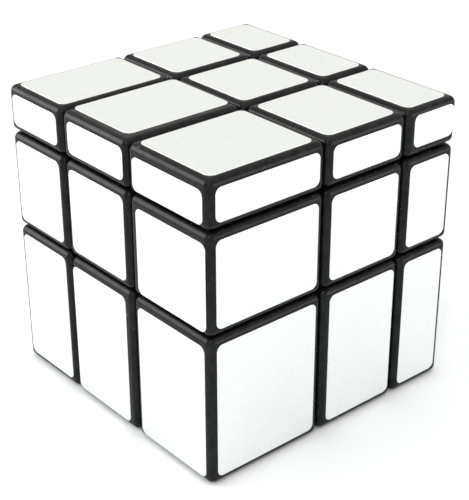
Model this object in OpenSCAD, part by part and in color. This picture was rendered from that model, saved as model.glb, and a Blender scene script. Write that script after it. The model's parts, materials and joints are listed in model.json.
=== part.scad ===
// Twisty puzzle cube of the mirror kind: three layers on each axis, every layer of its own
// thickness, all blocks black with silver foil. The corners and edges hook under the centres,
// and six sprung screws hold the centres to the core.

/* [Cube] */
// Edge length of the closed cube, foil included
cube_size = 57; // [56:0.5:60]
// Thickness of the middle layer, the same on all three axes
middle_layer = 19; // [18.6:0.2:19.4]
// Thickness of the up layer; the down layer takes the rest of the cube
up_layer = 9; // [9:0.5:11]
// Thickness of the back layer; the front layer takes the rest of the cube
back_layer = 13; // [11:0.5:15]
// Thickness of the left layer; the right layer takes the rest of the cube
left_layer = 17; // [14:0.5:19]

/* [Blocks] */
// Radius of the blocks' rounded edges
edge_round = 1.3; // [0.8:0.1:1.3]
// Wall thickness of the hollow blocks
wall = 1.6; // [1.4:0.1:1.8]
// Gap between neighbouring pieces
gap = 0.3; // [0.2:0.05:0.35]

/* [Foil stickers] */
// Thickness of the foil
foil = 0.1; // [0.05:0.05:0.2]
// Distance from the layer's boundary to the foil
foil_inset = 1.5; // [1.45:0.05:2.2]
// Corner radius of the foil
foil_round = 1.2; // [0.6:0.1:2]

/* [Mechanism] */
// Radius of the round space in the middle that only the core and the hubs enter
core_room = 10.8; // [10.4:0.1:11.2]
// Outer radius of the feet that hook under the neighbours
foot_radius = 16.6; // [16.4:0.1:16.7]
// Outer radius of the necks that join the feet to the blocks
neck_radius = 18.7; // [18.6:0.1:18.9]
// Distance of the feet's side faces from the middle planes
foot_cut = 5.5; // [5.4:0.1:5.7]
// Distance of the necks' side faces from the middle planes
neck_cut = 8.3; // [8.2:0.1:8.4]

/* [Core and screws] */
// Radius of the core's round body
core_ball = 6.4; // [5.5:0.1:6.8]
// Radius of the core's six arms
core_arm = 3.6; // [3:0.1:4]
// Distance from the cube's mechanical centre to the end of an arm
arm_end = 7.5; // [7.2:0.1:7.6]
// Radius of a screw's shank
screw_radius = 1.25; // [1:0.05:1.3]
// Radius of a screw's head
head_radius = 2.6; // [2.2:0.1:2.7]
// Wire diameter of a spring
spring_wire = 0.6; // [0.4:0.05:0.7]
// Turns of a spring
spring_turns = 5; // [4:1:5]

/* [Hidden] */
$fn = 64;
half_gap = gap / 2;
block_cut = middle_layer / 2;
// distance from the mechanical centre to each outer face: [left, front, down] and [right, back, up]
low_face = [block_cut + left_layer, cube_size - block_cut - back_layer, cube_size - block_cut - up_layer];
high_face = [cube_size, cube_size, cube_size] - low_face;
// the mechanical centre, with the origin at the middle of the cube's bottom face
centre = [low_face.x - cube_size / 2, low_face.y - cube_size / 2, low_face.z];
// directions of the faces: up, down, front, back, left and right
faces = [[0, 0, 1], [0, 0, -1], [0, -1, 0], [0, 1, 0], [-1, 0, 0], [1, 0, 0]];
// any distance beyond the mechanism's outermost sphere
beyond = 20;

// play between a screw, its thread and its washer, and between a screw and its hub
thread_clearance = 0.05;
running_clearance = 0.07;
// heights along each screw, from the mechanical centre outwards
bore_floor = 1.7;
screw_tip = 2.1;
tip_length = 0.7;
hub_floor = 7.7;
hub_floor_thickness = 1.5;
washer_floor = 13.95;
washer_thickness = 0.5;
head_floor = washer_floor + washer_thickness + thread_clearance;
head_height = 1.7;
hub_top = 16.95;
cap_floor = 17;
plug_floor = 14.9;
// radii and widths around each screw
well_radius = 3.6;
plug_radius = 3.55;
plug_bore = 2.85;
washer_radius = 3.2;
spring_radius = 2.4;
spring_ring_sides = 12;
spring_wire_sides = 5;
cross_width = 0.7;
cross_length = 3.2;
cross_depth = 0.9;
cap_wall = 2.2;
rib = 1.2;
fused = 0.2;

// Foils that were laid by hand visibly off the middle of their face: the place, the axis of the
// face, and how far the foil lies off
off_centre_foils = [
    [[0, -1, 1], 2, [-0.8, 0.7, 0]],
    [[0, -1, 1], 1, [0.4, 0, 0]],
    [[1, -1, 1], 1, [0, 0, -0.5]],
    [[1, -1, 0], 1, [0.5, 0, -0.5]],
    [[0, -1, -1], 1, [-0.6, 0, -0.3]],
    [[1, -1, -1], 1, [0, 0, -0.4]],
    [[1, 1, 1], 0, [0, 0.4, 0.3]],
    [[1, 0, -1], 0, [0, 0.3, 0]]
];

plastic = [0.10, 0.10, 0.11];
silver = [0.86, 0.86, 0.84];
nylon = [0.88, 0.88, 0.85];
steel = [0.62, 0.63, 0.65];

// A place is a list of three signs: [1, -1, 0] is the edge between the right and front faces.
// The two functions give the corners of a place's box: `across` is its half width along the
// axes where the sign is 0, `from` its near limit on the others, and `inset` its distance from
// the cube's outer faces there.
function place_low(place, across, from, inset) = [for (i = [0:2])
    place[i] == 0 ? -across : place[i] > 0 ? from : inset - low_face[i]];
function place_high(place, across, from, inset) = [for (i = [0:2])
    place[i] == 0 ? across : place[i] < 0 ? -from : high_face[i] - inset];

// A square-cornered box between two opposite corners
module box(low, high) translate(low) cube(high - low);

// Everything within `radius` of the mechanical centre that belongs to a place cut off at `cut`
module sector(place, radius, across, from) intersection() {
    sphere(radius);
    box([for (i = [0:2]) place[i] == 0 ? -across : place[i] > 0 ? from : -beyond],
        [for (i = [0:2]) place[i] == 0 ? across : place[i] < 0 ? -from : beyond]);
}

// A rectangle with round corners, its low corner at the origin
module round_rectangle(width, height, radius) {
    translate([radius, 0]) square([width - 2 * radius, height]);
    translate([0, radius]) square([width, height - 2 * radius]);
    for (x = [radius, width - radius], y = [radius, height - radius])
        translate([x, y]) circle(radius);
}

// A plate between two opposite corners, with its four edges along `axis` rounded
module plate(low, high, axis, radius) {
    size = high - low;
    if (axis == 0) translate(low) rotate([90, 0, 90])
        linear_extrude(size.x) round_rectangle(size.y, size.z, radius);
    if (axis == 1) translate([low.x, high.y, low.z]) rotate([90, 0, 0])
        linear_extrude(size.y) round_rectangle(size.x, size.z, radius);
    if (axis == 2) translate(low)
        linear_extrude(size.z) round_rectangle(size.x, size.y, radius);
}

// A box with all twelve edges rounded
module round_box(low, high, radius) intersection() {
    plate(low, high, 0, radius);
    plate(low, high, 1, radius);
    plate(low, high, 2, radius);
}

// The outer block of a place, which the foil lies on
module block(place) round_box(
    place_low(place, block_cut - half_gap, block_cut + half_gap, foil),
    place_high(place, block_cut - half_gap, block_cut + half_gap, foil), edge_round);

// The hollow inside a block
module hollow(place) box(
    place_low(place, block_cut - half_gap - wall, block_cut + half_gap + wall, foil + wall),
    place_high(place, block_cut - half_gap - wall, block_cut + half_gap + wall, foil + wall));

// The foot of a place, which hooks under the necks of its neighbours
module foot(place) sector(place, foot_radius - half_gap, foot_cut - half_gap, foot_cut + half_gap);

// A corner: block, neck and foot in one
module corner_block(place) color(plastic) translate(centre) difference() {
    union() {
        block(place);
        sector(place, neck_radius - half_gap, neck_cut - half_gap, neck_cut + half_gap);
        foot(place);
    }
    sphere(core_room + half_gap);
    hollow(place);
}

// An edge: its neck reaches sideways over the feet of the corners, and its block over their necks
module edge_block(place) color(plastic) translate(centre) difference() {
    union() {
        difference() {
            block(place);
            sphere(neck_radius + half_gap);
        }
        difference() {
            union() {
                sector(place, neck_radius - half_gap, neck_cut - half_gap, neck_cut + half_gap);
                sector(place, neck_radius + 2 * gap, neck_cut - half_gap, block_cut + half_gap);
            }
            sphere(foot_radius + half_gap);
        }
        sector(place, neck_radius - half_gap, foot_cut - half_gap, neck_cut + half_gap);
        foot(place);
    }
    sphere(core_room + half_gap);
    difference() {
        hollow(place);
        sphere(neck_radius + half_gap + wall);
    }
}

// Turns a shape that is built along +Z to a face's direction
module along(face)
    rotate(face.z > 0 ? [0, 0, 0] : face.z < 0 ? [180, 0, 0] : [-90 * face.y, 90 * face.x, 0])
    children();

// Hub of a centre: a square stem with a well for the spring, and a flange over the edges' feet
module hub(face) color(plastic) translate(centre) along(face) difference() {
    stem = foot_cut - half_gap;
    flange = neck_cut - half_gap;
    union() {
        box([-stem, -stem, hub_floor], [stem, stem, hub_top]);
        difference() {
            box([-flange, -flange, hub_floor], [flange, flange, hub_top]);
            sphere(foot_radius + half_gap);
        }
    }
    translate([0, 0, hub_floor + hub_floor_thickness]) cylinder(hub_top, r = well_radius);
    cylinder(hub_top, r = screw_radius + running_clearance);
}

// Cap of a centre: a hollow block that covers the screw, with a ribbed tube plugged into the hub
module cap(face) color(plastic) translate(centre) {
    reach = face * [1, 1, 1] > 0 ? face * high_face : -face * low_face;
    across = block_cut - half_gap;
    inside = across - cap_wall;
    rib_reach = across - edge_round;
    top = reach - foil;
    roof = max(cap_floor, top - wall);
    along(face) difference() {
        union() {
            difference() {
                intersection() {
                    round_box([-across, -across, 0], [across, across, top], edge_round);
                    box([-across, -across, cap_floor], [across, across, top]);
                }
                if (roof > cap_floor)
                    box([-inside, -inside, 0], [inside, inside, roof]);
            }
            if (roof > cap_floor) {
                box([-rib_reach, -rib / 2, cap_floor], [rib_reach, rib / 2, roof + fused]);
                box([-rib / 2, -rib_reach, cap_floor], [rib / 2, rib_reach, roof + fused]);
            }
            translate([0, 0, plug_floor]) cylinder(roof + fused - plug_floor, r = plug_radius);
        }
        cylinder(roof, r = plug_bore);
    }
}

function foil_shift(place, axis) =
    let (listed = [for (foil = off_centre_foils) if (foil[0] == place && foil[1] == axis) foil[2]])
    len(listed) > 0 ? listed[0] : [0, 0, 0];

// The foils of a place, one on each of its outer faces
module stickers(place) color(silver) translate(centre)
    for (axis = [0:2]) if (place[axis] != 0) {
        low = place_low(place, block_cut - foil_inset, block_cut + foil_inset, foil_inset);
        high = place_high(place, block_cut - foil_inset, block_cut + foil_inset, foil_inset);
        under = place[axis] > 0 ? high_face[axis] - foil : -low_face[axis];
        translate(foil_shift(place, axis))
            plate([for (i = [0:2]) i == axis ? under : low[i]],
                  [for (i = [0:2]) i == axis ? under + foil : high[i]], axis, foil_round);
    }

// The core: a ball with six arms, each with a blind hole for its screw
module core_spider() color(nylon) translate(centre) difference() {
    union() {
        sphere(core_ball);
        for (face = faces) along(face) cylinder(arm_end, r = core_arm);
    }
    for (face = faces) along(face) translate([0, 0, bore_floor])
        cylinder(arm_end, r = screw_radius + thread_clearance);
}

// A pan-head screw with a cross recess
module screw() difference() {
    union() {
        translate([0, 0, screw_tip]) cylinder(tip_length, r1 = screw_radius / 2, r2 = screw_radius);
        translate([0, 0, screw_tip + tip_length])
            cylinder(head_floor - screw_tip - tip_length + fused, r = screw_radius);
        translate([0, 0, head_floor]) cylinder(head_height, r = head_radius);
    }
    for (turn = [0, 90]) rotate(turn) translate([0, 0, head_floor + head_height])
        cube([cross_length, cross_width, 2 * cross_depth], center = true);
}

module washer() translate([0, 0, washer_floor]) difference() {
    cylinder(washer_thickness, r = washer_radius);
    cylinder(washer_thickness, r = screw_radius + thread_clearance);
}

// A coil spring pressed between the hub's floor and the washer
module spring() {
    wire_radius = spring_wire / 2;
    rings = spring_ring_sides * spring_turns;
    sides = spring_wire_sides;
    low = hub_floor + hub_floor_thickness + wire_radius + thread_clearance;
    rise = washer_floor - thread_clearance - wire_radius - low;
    points = [for (i = [0:rings], j = [0:sides - 1])
        let (turn = 360 * i / spring_ring_sides, round_wire = 360 * j / sides,
             radius = spring_radius + wire_radius * cos(round_wire))
        [radius * cos(turn), radius * sin(turn), low + rise * i / rings + wire_radius * sin(round_wire)]];
    skin = [for (i = [0:rings - 1], j = [0:sides - 1], half = [0, 1])
        let (a = i * sides + j, b = i * sides + (j + 1) % sides)
        half == 0 ? [a, b + sides, a + sides] : [a, b, b + sides]];
    ends = [[for (j = [0:sides - 1]) sides - 1 - j], [for (j = [0:sides - 1]) rings * sides + j]];
    polyhedron(points, concat(skin, ends));
}

// Six sets that hold the hubs to the core, each of a screw, a washer and a spring
module tension_screws_springs_washers() color(steel) translate(centre)
    for (face = faces) along(face) {
        screw();
        washer();
        spring();
    }

module centre_up_hub() hub([0, 0, 1]);
module centre_up_cap() cap([0, 0, 1]);
module centre_up_sticker() stickers([0, 0, 1]);
module centre_down_hub() hub([0, 0, -1]);
module centre_down_cap() cap([0, 0, -1]);
module centre_down_sticker() stickers([0, 0, -1]);
module centre_front_hub() hub([0, -1, 0]);
module centre_front_cap() cap([0, -1, 0]);
module centre_front_sticker() stickers([0, -1, 0]);
module centre_back_hub() hub([0, 1, 0]);
module centre_back_cap() cap([0, 1, 0]);
module centre_back_sticker() stickers([0, 1, 0]);
module centre_left_hub() hub([-1, 0, 0]);
module centre_left_cap() cap([-1, 0, 0]);
module centre_left_sticker() stickers([-1, 0, 0]);
module centre_right_hub() hub([1, 0, 0]);
module centre_right_cap() cap([1, 0, 0]);
module centre_right_sticker() stickers([1, 0, 0]);
module edge_back_left_block() edge_block([-1, 1, 0]);
module edge_back_left_stickers() stickers([-1, 1, 0]);
module edge_back_right_block() edge_block([1, 1, 0]);
module edge_back_right_stickers() stickers([1, 1, 0]);
module edge_down_back_block() edge_block([0, 1, -1]);
module edge_down_back_stickers() stickers([0, 1, -1]);
module edge_down_front_block() edge_block([0, -1, -1]);
module edge_down_front_stickers() stickers([0, -1, -1]);
module edge_down_left_block() edge_block([-1, 0, -1]);
module edge_down_left_stickers() stickers([-1, 0, -1]);
module edge_down_right_block() edge_block([1, 0, -1]);
module edge_down_right_stickers() stickers([1, 0, -1]);
module edge_front_left_block() edge_block([-1, -1, 0]);
module edge_front_left_stickers() stickers([-1, -1, 0]);
module edge_front_right_block() edge_block([1, -1, 0]);
module edge_front_right_stickers() stickers([1, -1, 0]);
module edge_up_back_block() edge_block([0, 1, 1]);
module edge_up_back_stickers() stickers([0, 1, 1]);
module edge_up_front_block() edge_block([0, -1, 1]);
module edge_up_front_stickers() stickers([0, -1, 1]);
module edge_up_left_block() edge_block([-1, 0, 1]);
module edge_up_left_stickers() stickers([-1, 0, 1]);
module edge_up_right_block() edge_block([1, 0, 1]);
module edge_up_right_stickers() stickers([1, 0, 1]);
module corner_down_back_left_block() corner_block([-1, 1, -1]);
module corner_down_back_left_stickers() stickers([-1, 1, -1]);
module corner_down_back_right_block() corner_block([1, 1, -1]);
module corner_down_back_right_stickers() stickers([1, 1, -1]);
module corner_down_front_left_block() corner_block([-1, -1, -1]);
module corner_down_front_left_stickers() stickers([-1, -1, -1]);
module corner_down_front_right_block() corner_block([1, -1, -1]);
module corner_down_front_right_stickers() stickers([1, -1, -1]);
module corner_up_back_left_block() corner_block([-1, 1, 1]);
module corner_up_back_left_stickers() stickers([-1, 1, 1]);
module corner_up_back_right_block() corner_block([1, 1, 1]);
module corner_up_back_right_stickers() stickers([1, 1, 1]);
module corner_up_front_left_block() corner_block([-1, -1, 1]);
module corner_up_front_left_stickers() stickers([-1, -1, 1]);
module corner_up_front_right_block() corner_block([1, -1, 1]);
module corner_up_front_right_stickers() stickers([1, -1, 1]);

core_spider();
tension_screws_springs_washers();
centre_up_hub();
centre_up_cap();
centre_up_sticker();
centre_down_hub();
centre_down_cap();
centre_down_sticker();
centre_front_hub();
centre_front_cap();
centre_front_sticker();
centre_back_hub();
centre_back_cap();
centre_back_sticker();
centre_left_hub();
centre_left_cap();
centre_left_sticker();
centre_right_hub();
centre_right_cap();
centre_right_sticker();
edge_back_left_block();
edge_back_left_stickers();
edge_back_right_block();
edge_back_right_stickers();
edge_down_back_block();
edge_down_back_stickers();
edge_down_front_block();
edge_down_front_stickers();
edge_down_left_block();
edge_down_left_stickers();
edge_down_right_block();
edge_down_right_stickers();
edge_front_left_block();
edge_front_left_stickers();
edge_front_right_block();
edge_front_right_stickers();
edge_up_back_block();
edge_up_back_stickers();
edge_up_front_block();
edge_up_front_stickers();
edge_up_left_block();
edge_up_left_stickers();
edge_up_right_block();
edge_up_right_stickers();
corner_down_back_left_block();
corner_down_back_left_stickers();
corner_down_back_right_block();
corner_down_back_right_stickers();
corner_down_front_left_block();
corner_down_front_left_stickers();
corner_down_front_right_block();
corner_down_front_right_stickers();
corner_up_back_left_block();
corner_up_back_left_stickers();
corner_up_back_right_block();
corner_up_back_right_stickers();
corner_up_front_left_block();
corner_up_front_left_stickers();
corner_up_front_right_block();
corner_up_front_right_stickers();
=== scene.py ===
import json
import math

import bmesh
import bpy
from mathutils import Matrix, Vector, noise

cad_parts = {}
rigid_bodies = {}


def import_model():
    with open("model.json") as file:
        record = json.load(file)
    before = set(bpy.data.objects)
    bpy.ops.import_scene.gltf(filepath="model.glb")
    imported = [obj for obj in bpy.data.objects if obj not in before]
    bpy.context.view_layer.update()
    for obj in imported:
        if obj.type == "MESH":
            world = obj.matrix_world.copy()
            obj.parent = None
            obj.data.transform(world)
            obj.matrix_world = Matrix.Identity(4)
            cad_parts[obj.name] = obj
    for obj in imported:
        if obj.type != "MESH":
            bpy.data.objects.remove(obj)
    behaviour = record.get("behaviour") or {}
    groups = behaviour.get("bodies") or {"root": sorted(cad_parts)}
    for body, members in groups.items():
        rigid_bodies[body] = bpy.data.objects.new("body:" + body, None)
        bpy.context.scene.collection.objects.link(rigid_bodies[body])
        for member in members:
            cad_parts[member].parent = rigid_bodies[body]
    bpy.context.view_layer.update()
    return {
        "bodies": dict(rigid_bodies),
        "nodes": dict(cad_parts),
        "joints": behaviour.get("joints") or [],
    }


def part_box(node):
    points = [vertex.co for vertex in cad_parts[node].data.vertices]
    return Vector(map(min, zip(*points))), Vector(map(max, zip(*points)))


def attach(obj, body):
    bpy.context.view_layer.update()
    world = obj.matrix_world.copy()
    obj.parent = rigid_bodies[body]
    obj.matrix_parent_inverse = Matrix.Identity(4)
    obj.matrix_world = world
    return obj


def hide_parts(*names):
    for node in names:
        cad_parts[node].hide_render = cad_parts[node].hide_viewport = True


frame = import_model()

# ---------------------------------------------------------------- sizes, in metres
MM = 0.001

# The point that all six faces turn about. It isn't the middle of the cube.
CORE = Vector(frame["joints"][0]["pos_m"])

# Half the width of a middle-layer block, and the gap to the block beside it
ACROSS = (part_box("centre_up_cap")[1].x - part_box("centre_up_cap")[0].x) / 2
GAP = 0.3 * MM

# The blocks' edge radius, how far their skin lies inside the CAD's, and the radius of the necks below
BLOCK_ROUND = 1.28 * MM
BLOCK_INSET = 0.01 * MM
NECK_RADIUS = 18.7 * MM

# The foils' corner radius, the radius of their upper edge, and how deep and how long their waves are
FOIL_ROUND = 1.2 * MM
FOIL_EDGE = 0.05 * MM
FOIL_WAVE = 0.012 * MM
FOIL_WAVE_LENGTH = 5 * MM

# Mesh steps: half a rounded edge, the flat of a block, the flat of a foil, a foil's upper edge, the ball
ARC_STEPS = 5
BLOCK_FLAT_STEPS = 4
FOIL_FLAT_STEPS = 10
FOIL_EDGE_STEPS = 3
BALL_SEGMENTS, BALL_RINGS = 64, 32

# Vertices closer than this are one, and an edge that bends more than these degrees is sharp
WELD = 1e-7
SHELL_SHARP = 35
FOIL_SHARP = 50

FACES = {
    "up": Vector((0, 0, 1)), "down": Vector((0, 0, -1)),
    "front": Vector((0, -1, 0)), "back": Vector((0, 1, 0)),
    "left": Vector((-1, 0, 0)), "right": Vector((1, 0, 0)),
}


def place_of(body):
    """The three signs of a puzzle body's place: centre_up is (0, 0, 1)."""
    return sum((FACES[word] for word in body.split("_")[1:]), Vector((0, 0, 0)))


# ---------------------------------------------------------------- mesh helpers
def new_object(name, bm):
    mesh = bpy.data.meshes.new(name)
    bm.to_mesh(mesh)
    bm.free()
    obj = bpy.data.objects.new(name, mesh)
    bpy.context.scene.collection.objects.link(obj)
    return obj


def clamp(value, low, high):
    return min(max(value, low), high)


def on_axes(axis, along, u, v):
    """The point with the coordinate `along` on one axis, and u and v on the two axes after it."""
    p = Vector((0, 0, 0))
    p[axis], p[(axis + 1) % 3], p[(axis + 2) % 3] = along, u, v
    return p


def steps(low, high, radius, flat_steps):
    """Grid lines along one side of a rounded shape: arcs at both ends, even lines between."""
    arc = [radius * math.tan(math.pi / 4 * i / ARC_STEPS) for i in range(1, ARC_STEPS + 1)]
    flat = [low + radius + (high - low - 2 * radius) * i / flat_steps for i in range(flat_steps + 1)]
    return [low + radius - a for a in reversed(arc)] + flat + [high - radius + a for a in arc]


def add_face(bm, verts, flipped):
    bm.faces.new(verts[::-1] if flipped else verts)


def fill_grid(bm, grid, flipped):
    """Covers a grid of vertices with quads."""
    for row, after in zip(grid, grid[1:]):
        for j in range(len(row) - 1):
            add_face(bm, [row[j], after[j], after[j + 1], row[j + 1]], flipped)


def rounded_box(low, high, radius):
    """A box of quads whose edges are true arcs and whose corners are eighths of a sphere."""
    bm = bmesh.new()
    lines = [steps(low[i], high[i], radius, BLOCK_FLAT_STEPS) for i in range(3)]

    def rounded(p):
        inner = Vector([clamp(p[i], low[i] + radius, high[i] - radius) for i in range(3)])
        return inner + (p - inner).normalized() * radius

    for axis in range(3):
        lines_u, lines_v = lines[(axis + 1) % 3], lines[(axis + 2) % 3]
        for end in (low[axis], high[axis]):
            grid = [[bm.verts.new(rounded(on_axes(axis, end, a, b))) for b in lines_v] for a in lines_u]
            fill_grid(bm, grid, end == low[axis])
    bmesh.ops.remove_doubles(bm, verts=bm.verts, dist=WELD)
    return bm


def combine(target, operation, tool):
    """Applies one exact boolean to target and removes the tool."""
    modifier = target.modifiers.new("combine", "BOOLEAN")
    modifier.operation = operation
    modifier.solver = "EXACT"
    modifier.object = tool
    depsgraph = bpy.context.evaluated_depsgraph_get()
    made = bpy.data.meshes.new_from_object(target.evaluated_get(depsgraph))
    target.modifiers.clear()
    old, target.data = target.data, made
    bpy.data.meshes.remove(old)
    bpy.data.objects.remove(tool)


def smooth(obj, sharp_angle):
    """Shades a piece smoothly, apart from its sharp edges, and keeps its flat faces flat."""
    obj.data.shade_smooth()
    obj.data.set_sharp_from_angle(angle=math.radians(sharp_angle))
    weighted = obj.modifiers.new("weighted_normals", "WEIGHTED_NORMAL")
    weighted.keep_sharp = True


def islands(bm):
    """The vertices of each separate part of a mesh."""
    groups, seen = [], set()
    for start in bm.verts:
        if start in seen:
            continue
        stack, group = [start], []
        seen.add(start)
        while stack:
            vert = stack.pop()
            group.append(vert)
            for edge in vert.link_edges:
                other = edge.other_vert(vert)
                if other not in seen:
                    seen.add(other)
                    stack.append(other)
        groups.append(group)
    return groups


def corners(group):
    """The lowest and highest corner of the box round a group of vertices."""
    low = Vector([min(v.co[i] for v in group) for i in range(3)])
    high = Vector([max(v.co[i] for v in group) for i in range(3)])
    return low, high


def cad_mesh(node):
    """A CAD node's mesh with its vertices joined."""
    bm = bmesh.new()
    bm.from_mesh(frame["nodes"][node].data)
    bmesh.ops.remove_doubles(bm, verts=bm.verts, dist=WELD)
    return bm


def set_material(obj, material):
    obj.data.materials.clear()
    obj.data.materials.append(material)


def finish_piece(obj, name, material, body, node):
    """Names and dresses a piece, and lets it ride on its body in place of a CAD node."""
    obj.name = obj.data.name = name
    set_material(obj, material)
    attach(obj, body)
    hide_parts(node)


# ---------------------------------------------------------------- shader helpers
# The sockets of a Mix node for colours are told apart by number, because their names repeat
MIX_FACTOR, MIX_A, MIX_B, MIX_RESULT = 0, 6, 7, 2


def shader_node(tree, kind, inputs, **settings):
    """Adds a node; each of its inputs is set to a value or linked to another node's output."""
    made = tree.nodes.new("ShaderNode" + kind)
    for name, value in settings.items():
        setattr(made, name, value)
    for name, value in inputs.items():
        if isinstance(value, bpy.types.NodeSocket):
            tree.links.new(value, made.inputs[name])
        else:
            made.inputs[name].default_value = value
    return made


def new_material(name):
    material = bpy.data.materials.new(name)
    material.use_nodes = True
    tree = material.node_tree
    return material, tree, tree.nodes["Principled BSDF"]


def coordinates(tree, kind):
    """A piece's own coordinates: Object for a point's place, Normal for the way its surface faces."""
    return shader_node(tree, "TexCoord", {}).outputs[kind]


def grain(tree, where, size, detail):
    """Soft random spots of about `size` metres, from 0 to 1."""
    inputs = {"Vector": where, "Scale": 1 / size, "Detail": detail}
    return shader_node(tree, "TexNoise", inputs).outputs["Fac"]


def between(tree, value, low, high, to_low=0.0, to_high=1.0):
    """Maps value from the range low..high to to_low..to_high, and no further."""
    inputs = {"Value": value, "From Min": low, "From Max": high, "To Min": to_low, "To Max": to_high}
    return shader_node(tree, "MapRange", inputs).outputs["Result"]


def maths(tree, operation, a, b):
    return shader_node(tree, "Math", {0: a, 1: b}, operation=operation).outputs[0]


def tint(tree, factor, a, b):
    """Colour a where factor is 0, colour b where it is 1."""
    inputs = {MIX_FACTOR: factor, MIX_A: a, MIX_B: b}
    return shader_node(tree, "Mix", inputs, data_type="RGBA").outputs[MIX_RESULT]


def stretched(tree, where, factors):
    """Coordinates pulled out along the axes, for grain that runs one way."""
    return shader_node(tree, "Mapping", {"Vector": where, "Scale": factors}).outputs["Vector"]


def specks(tree, where, spacing, size, share):
    """Scattered round specks: one cell in `share` of a lattice of `spacing` holds one."""
    cells = shader_node(tree, "TexVoronoi", {"Vector": where, "Scale": 1 / spacing, "Randomness": 1.0})
    reach = size / spacing
    dot = between(tree, cells.outputs["Distance"], reach / 2, reach, 1.0, 0.0)
    pick = shader_node(tree, "SeparateColor", {"Color": cells.outputs["Color"]}).outputs["Red"]
    return maths(tree, "MULTIPLY", dot, maths(tree, "LESS_THAN", pick, 1 / share))


def roundness(tree):
    """0 on the flat faces of a block and 1 on its rounded edges, from the mesh's own normals."""
    facing = coordinates(tree, "Normal")
    size = shader_node(tree, "VectorMath", {0: facing}, operation="ABSOLUTE").outputs["Vector"]
    parts = shader_node(tree, "SeparateXYZ", {"Vector": size}).outputs
    flattest = maths(tree, "MAXIMUM", maths(tree, "MAXIMUM", parts["X"], parts["Y"]), parts["Z"])
    return between(tree, flattest, 0.9, 0.995, 1.0, 0.0)


def bump(tree, height, distance, normal=None):
    """The normal of a surface that is `distance` metres higher where height is 1."""
    inputs = {"Height": height, "Distance": distance, "Strength": 1.0}
    if normal is not None:
        inputs["Normal"] = normal
    return shader_node(tree, "Bump", inputs).outputs["Normal"]


def dress(tree, shader, colour, roughness, normal):
    tree.links.new(colour, shader.inputs["Base Color"])
    tree.links.new(roughness, shader.inputs["Roughness"])
    tree.links.new(normal, shader.inputs["Normal"])


# ---------------------------------------------------------------- materials
PLASTIC_DEEP = (0.0020, 0.0024, 0.0030, 1)
PLASTIC_CLOUDED = (0.0045, 0.0050, 0.0058, 1)
PLASTIC_RUBBED = (0.0110, 0.0115, 0.0125, 1)
PLASTIC_DUST = (0.36, 0.37, 0.37, 1)
PLASTIC_GLOSS = 0.155

FOIL_DIM = (0.856, 0.884, 0.868, 1)
FOIL_BRIGHT = (0.892, 0.920, 0.904, 1)
FOIL_PIT = (0.76, 0.78, 0.76, 1)
FOIL_GRAIN = (0.74, 0.76, 0.75, 1)
FOIL_SMUDGE = (0.70, 0.69, 0.64, 1)
FOIL_SPECK = (0.22, 0.20, 0.18, 1)

NYLON_DULL = (0.74, 0.73, 0.68, 1)
NYLON_PALE = (0.86, 0.86, 0.83, 1)
ZINC_BLUE = (0.50, 0.51, 0.53, 1)
ZINC_PALE = (0.68, 0.68, 0.67, 1)
FLOOR_PAPER = (0.845, 0.857, 0.884, 1)


def black_plastic():
    """Moulded black plastic: fine mould texture, handling marks, rubbed edges, a little dust."""
    material, tree, shader = new_material("black_plastic")
    where = coordinates(tree, "Object")
    edge = roundness(tree)
    patches = between(tree, grain(tree, where, 1.6 * MM, 5.0), 0.42, 0.66)
    rubbed = maths(tree, "MULTIPLY", edge, patches)
    motes = specks(tree, where, spacing=2.4 * MM, size=0.18 * MM, share=3)
    fine_motes = specks(tree, where, spacing=1.1 * MM, size=0.08 * MM, share=3)
    dust = maths(tree, "ADD", motes, fine_motes)

    body = tint(tree, grain(tree, where, 4 * MM, 4.0), PLASTIC_DEEP, PLASTIC_CLOUDED)
    worn = tint(tree, rubbed, body, PLASTIC_RUBBED)
    colour = tint(tree, between(tree, dust, 0, 1, 0, 0.8), worn, PLASTIC_DUST)

    handled = between(tree, grain(tree, where, 2.2 * MM, 6.0), 0.35, 0.7, 0.27, 0.40)
    polished = maths(tree, "SUBTRACT", handled, maths(tree, "MULTIPLY", edge, 0.08))
    roughness = maths(tree, "ADD", polished, maths(tree, "MULTIPLY", dust, 0.4))

    texture = bump(tree, grain(tree, where, 0.11 * MM, 2.0), 0.0012 * MM)
    sunk = bump(tree, grain(tree, where, 2.6 * MM, 1.0), 0.02 * MM, texture)
    dress(tree, shader, colour, roughness, bump(tree, dust, 0.02 * MM, sunk))
    shader.inputs["Specular IOR Level"].default_value = PLASTIC_GLOSS
    return material


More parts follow.
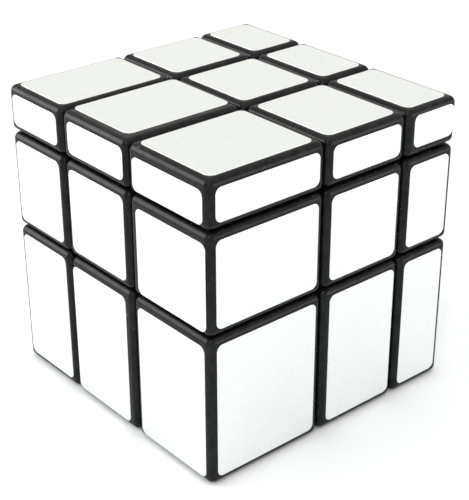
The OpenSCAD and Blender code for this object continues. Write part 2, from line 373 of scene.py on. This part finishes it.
def silver_foil():
    """Satin silver foil: very fine grain with a faint brushed run, tiny dark specks, soft smudges."""
    material, tree, shader = new_material("silver_foil")
    where = coordinates(tree, "Object")
    fine = grain(tree, where, 0.14 * MM, 3.0)
    pits = grain(tree, where, 0.42 * MM, 2.0)
    run = grain(tree, stretched(tree, where, (0.25, 0.25, 2.5)), 0.5 * MM, 4.0)
    smudge = between(tree, grain(tree, where, 7 * MM, 5.0), 0.60, 0.74)
    marks = specks(tree, where, spacing=3.0 * MM, size=0.14 * MM, share=4)
    fine_marks = specks(tree, where, spacing=1.3 * MM, size=0.06 * MM, share=5)
    dark = maths(tree, "ADD", marks, fine_marks)

    metal = tint(tree, grain(tree, where, 5 * MM, 3.0), FOIL_DIM, FOIL_BRIGHT)
    pitted = tint(tree, between(tree, pits, 0.38, 0.62, 0.0, 0.42), metal, FOIL_PIT)
    grained = tint(tree, between(tree, fine, 0.3, 0.7, 0.0, 0.36), pitted, FOIL_GRAIN)
    smudged = tint(tree, maths(tree, "MULTIPLY", smudge, 0.18), grained, FOIL_SMUDGE)
    colour = tint(tree, between(tree, dark, 0, 1, 0, 0.75), smudged, FOIL_SPECK)

    satin = between(tree, run, 0.3, 0.7, 0.37, 0.45)
    roughness = maths(tree, "ADD", satin, maths(tree, "MULTIPLY", smudge, 0.08))
    brushed = bump(tree, run, 0.003 * MM, bump(tree, fine, 0.0012 * MM))
    dress(tree, shader, colour, roughness, brushed)
    shader.inputs["Metallic"].default_value = 1.0
    return material


def white_nylon():
    """The core's plain nylon: waxy, faintly cloudy, with a soft mould texture."""
    material, tree, shader = new_material("white_nylon")
    where = coordinates(tree, "Object")
    colour = tint(tree, grain(tree, where, 3 * MM, 5.0), NYLON_DULL, NYLON_PALE)
    roughness = between(tree, grain(tree, where, 1.2 * MM, 4.0), 0.3, 0.7, 0.38, 0.55)
    dress(tree, shader, colour, roughness, bump(tree, grain(tree, where, 0.2 * MM, 3.0), 0.005 * MM))
    shader.inputs["Subsurface Weight"].default_value = 0.15
    shader.inputs["Subsurface Scale"].default_value = 0.5 * MM
    return material


def zinc_steel():
    """Zinc-plated screws, washers and springs, with drawn streaks and a dull bloom."""
    material, tree, shader = new_material("zinc_steel")
    where = coordinates(tree, "Object")
    streaks = grain(tree, stretched(tree, where, (4.0, 4.0, 0.6)), 0.4 * MM, 4.0)
    colour = tint(tree, grain(tree, where, 1.5 * MM, 5.0), ZINC_BLUE, ZINC_PALE)
    roughness = between(tree, streaks, 0.3, 0.7, 0.22, 0.42)
    dress(tree, shader, colour, roughness, bump(tree, streaks, 0.004 * MM))
    shader.inputs["Metallic"].default_value = 1.0
    return material


PLASTIC, SILVER, NYLON, STEEL = black_plastic(), silver_foil(), white_nylon(), zinc_steel()
INNER_MATERIALS = {"core_spider": NYLON, "tension_screws_springs_washers": STEEL}


# ---------------------------------------------------------------- blocks
def block_shape(body, node):
    """The outer form of a body's block: the CAD block's box with ball-shaped corners."""
    place, (low, high) = place_of(body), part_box(node)
    near, far = Vector((0, 0, 0)), Vector((0, 0, 0))
    for i in range(3):
        if place[i] == 0:
            near[i], far[i] = CORE[i] - ACROSS, CORE[i] + ACROSS
        elif place[i] > 0:
            near[i], far[i] = CORE[i] + ACROSS + GAP, high[i]
        else:
            near[i], far[i] = low[i], CORE[i] - ACROSS - GAP
    inset = Vector((BLOCK_INSET,) * 3)
    return rounded_box(near + inset, far - inset, BLOCK_ROUND)


def neck_ball():
    """The ball round the centre that every foot and neck lies in."""
    bm = bmesh.new()
    bmesh.ops.create_uvsphere(bm, u_segments=BALL_SEGMENTS, v_segments=BALL_RINGS, radius=NECK_RADIUS)
    bmesh.ops.translate(bm, verts=bm.verts, vec=CORE)
    return new_object("neck_ball", bm)


def outer_skin(node):
    """A copy of a CAD node without the hollow sealed inside it."""
    bm = cad_mesh(node)
    groups = islands(bm)
    outer = max(groups, key=lambda group: max(v.co.x for v in group) - min(v.co.x for v in group))
    hollow = [v for group in groups if group is not outer for v in group]
    bmesh.ops.delete(bm, geom=hollow, context="VERTS")
    return new_object(node + "_copy", bm)


def shell(body, node):
    """A body's black piece: the CAD's mechanism with a block whose edges are truly round."""
    envelope = new_object("envelope", block_shape(body, node))
    combine(envelope, "UNION", neck_ball())
    piece = outer_skin(node)
    combine(piece, "INTERSECT", envelope)
    smooth(piece, SHELL_SHARP)
    finish_piece(piece, body + "_shell", PLASTIC, body, node)


# ---------------------------------------------------------------- foils
def arc_centre(p, low, high, axis):
    """The point nearest to p between the centres of a foil's four corner arcs."""
    centre = p.copy()
    for i in ((axis + 1) % 3, (axis + 2) % 3):
        centre[i] = clamp(p[i], low[i] + FOIL_ROUND, high[i] - FOIL_ROUND)
    return centre


def on_circle(p, centre):
    """Moves a grid point so that the square rings round a corner's centre become circles."""
    offset = p - centre
    return centre + offset.normalized() * max(abs(part) for part in offset)


def foil_face(bm, low, high, axis, outward):
    """A foil's upper face, barely uneven inside its outline. Gives back the outline's vertices."""
    lines_u, lines_v = [
        steps(low[i] + FOIL_EDGE, high[i] - FOIL_EDGE, FOIL_ROUND - FOIL_EDGE, FOIL_FLAT_STEPS)
        for i in ((axis + 1) % 3, (axis + 2) % 3)]
    top = high[axis] if outward > 0 else low[axis]
    grid = []
    for a in lines_u:
        row = []
        for b in lines_v:
            p = on_axes(axis, top, a, b)
            p = on_circle(p, arc_centre(p, low, high, axis))
            if a not in (lines_u[0], lines_u[-1]) and b not in (lines_v[0], lines_v[-1]):
                p[axis] -= outward * FOIL_WAVE * (0.5 + 0.5 * noise.noise(p / FOIL_WAVE_LENGTH))
            row.append(bm.verts.new(p))
        grid.append(row)
    fill_grid(bm, grid, outward < 0)
    first_sides = [row[0] for row in grid[:-1]] + grid[-1][:-1]
    return first_sides + [row[-1] for row in grid[:0:-1]] + grid[0][:0:-1]


def foil_side(bm, outline, low, high, axis, outward):
    """A foil's softened upper edge, its side and its underside, from the outline of its face."""
    turns = [math.pi / 2 * i / FOIL_EDGE_STEPS for i in range(1, FOIL_EDGE_STEPS + 1)]
    profile = [(FOIL_EDGE * math.sin(turn), FOIL_EDGE * (1 - math.cos(turn))) for turn in turns]
    profile.append((FOIL_EDGE, high[axis] - low[axis] + BLOCK_INSET))
    rings = [outline]
    for out, down in profile:
        ring = []
        for vert in outline:
            p = vert.co + (vert.co - arc_centre(vert.co, low, high, axis)).normalized() * out
            p[axis] -= outward * down
            ring.append(bm.verts.new(p))
        rings.append(ring)
    for upper, lower in zip(rings, rings[1:]):
        for k in range(len(outline)):
            add_face(bm, [upper[k - 1], lower[k - 1], lower[k], upper[k]], outward < 0)
    add_face(bm, rings[-1], outward > 0)


def foils(body, node):
    """A body's stickers, one on each of its outer faces, where the CAD has them."""
    cad, bm = cad_mesh(node), bmesh.new()
    for group in islands(cad):
        low, high = corners(group)
        axis = min(range(3), key=lambda i: high[i] - low[i])
        outward = 1 if low[axis] > CORE[axis] else -1
        outline = foil_face(bm, low, high, axis, outward)
        foil_side(bm, outline, low, high, axis, outward)
    cad.free()
    bmesh.ops.recalc_face_normals(bm, faces=bm.faces)
    piece = new_object(node, bm)
    smooth(piece, FOIL_SHARP)
    finish_piece(piece, body + "_foils", SILVER, body, node)


for name, node in frame["nodes"].items():
    set_material(node, INNER_MATERIALS.get(name, PLASTIC))
for body in frame["bodies"]:
    if body.startswith("centre"):
        shell(body, body + "_cap")
        foils(body, body + "_sticker")
    elif body.startswith(("edge", "corner")):
        shell(body, body + "_block")
        foils(body, body + "_stickers")

# ---------------------------------------------------------------- floor, light and camera
# The camera looks at AIM from this far. Angles are in degrees, the lens and sensor in millimetres.
AIM = Vector((1.59, -0.44, 25.61)) * MM
CAMERA_DISTANCE = 243.3 * MM
CAMERA_AZIMUTH = 49.69
CAMERA_ELEVATION = 27.3
CAMERA_ROLL = -0.16
CAMERA_LENS = 93.42
CAMERA_SENSOR = 36

# The lights face AIM. Each has its azimuth, elevation, distance, width, height and radiance.
SOFTBOXES = {
    "key": (-50, 21, 0.8, 0.44, 0.48, 5.6),
    "side": (125, 8, 0.8, 0.5, 0.35, 3),
    "top": (0, 90, 0.8, 0.6, 0.6, 1.35),
    "lamp": (39, 43, 0.5, 0.03, 0.03, 100),
}
STUDIO_COLOUR = (1, 1, 0.955, 1)
STUDIO_RADIANCE = 0.98
FLOOR_HALF_WIDTH = 20
FLOOR_ROUGHNESS = 0.7


def direction(azimuth, elevation):
    """A unit vector from angles in degrees: azimuth 0 is in front of the cube, 90 to its right."""
    turn, rise = math.radians(azimuth), math.radians(elevation)
    return Vector((math.sin(turn) * math.cos(rise), -math.cos(turn) * math.cos(rise), math.sin(rise)))


def camera():
    data = bpy.data.cameras.new("camera")
    data.lens = CAMERA_LENS
    data.sensor_width = CAMERA_SENSOR
    data.clip_start = 0.01
    data.clip_end = 100
    obj = bpy.data.objects.new("camera", data)
    bpy.context.scene.collection.objects.link(obj)
    bpy.context.scene.camera = obj
    back = direction(CAMERA_AZIMUTH, CAMERA_ELEVATION)
    roll = Matrix.Rotation(math.radians(CAMERA_ROLL), 4, "Z")
    turn = (-back).to_track_quat("-Z", "Y").to_matrix().to_4x4() @ roll
    obj.matrix_world = Matrix.Translation(AIM + back * CAMERA_DISTANCE) @ turn


def softbox(name, azimuth, elevation, distance, width, height, radiance):
    """A rectangular light that faces AIM; an area light's power is pi * area * radiance."""
    data = bpy.data.lights.new(name, "AREA")
    data.shape = "RECTANGLE"
    data.size, data.size_y = width, height
    data.energy = math.pi * width * height * radiance
    obj = bpy.data.objects.new(name, data)
    bpy.context.scene.collection.objects.link(obj)
    toward = direction(azimuth, elevation)
    obj.location = AIM + toward * distance
    obj.rotation_mode = "QUATERNION"
    obj.rotation_quaternion = toward.to_track_quat("Z", "Y")


def floor():
    bm = bmesh.new()
    bmesh.ops.create_grid(bm, x_segments=1, y_segments=1, size=FLOOR_HALF_WIDTH)
    obj = new_object("floor", bm)
    material, _, shader = new_material("floor")
    shader.inputs["Base Color"].default_value = FLOOR_PAPER
    shader.inputs["Roughness"].default_value = FLOOR_ROUGHNESS
    set_material(obj, material)


def studio():
    """Even light from all round, with the softboxes that draw the blocks' rounded edges."""
    world = bpy.data.worlds.new("studio")
    bpy.context.scene.world = world
    world.use_nodes = True
    background = world.node_tree.nodes["Background"].inputs
    background["Color"].default_value = STUDIO_COLOUR
    background["Strength"].default_value = STUDIO_RADIANCE
    bpy.context.scene.view_settings.view_transform = "Standard"
    for name, settings in SOFTBOXES.items():
        softbox(name, *settings)


camera()
floor()
studio()
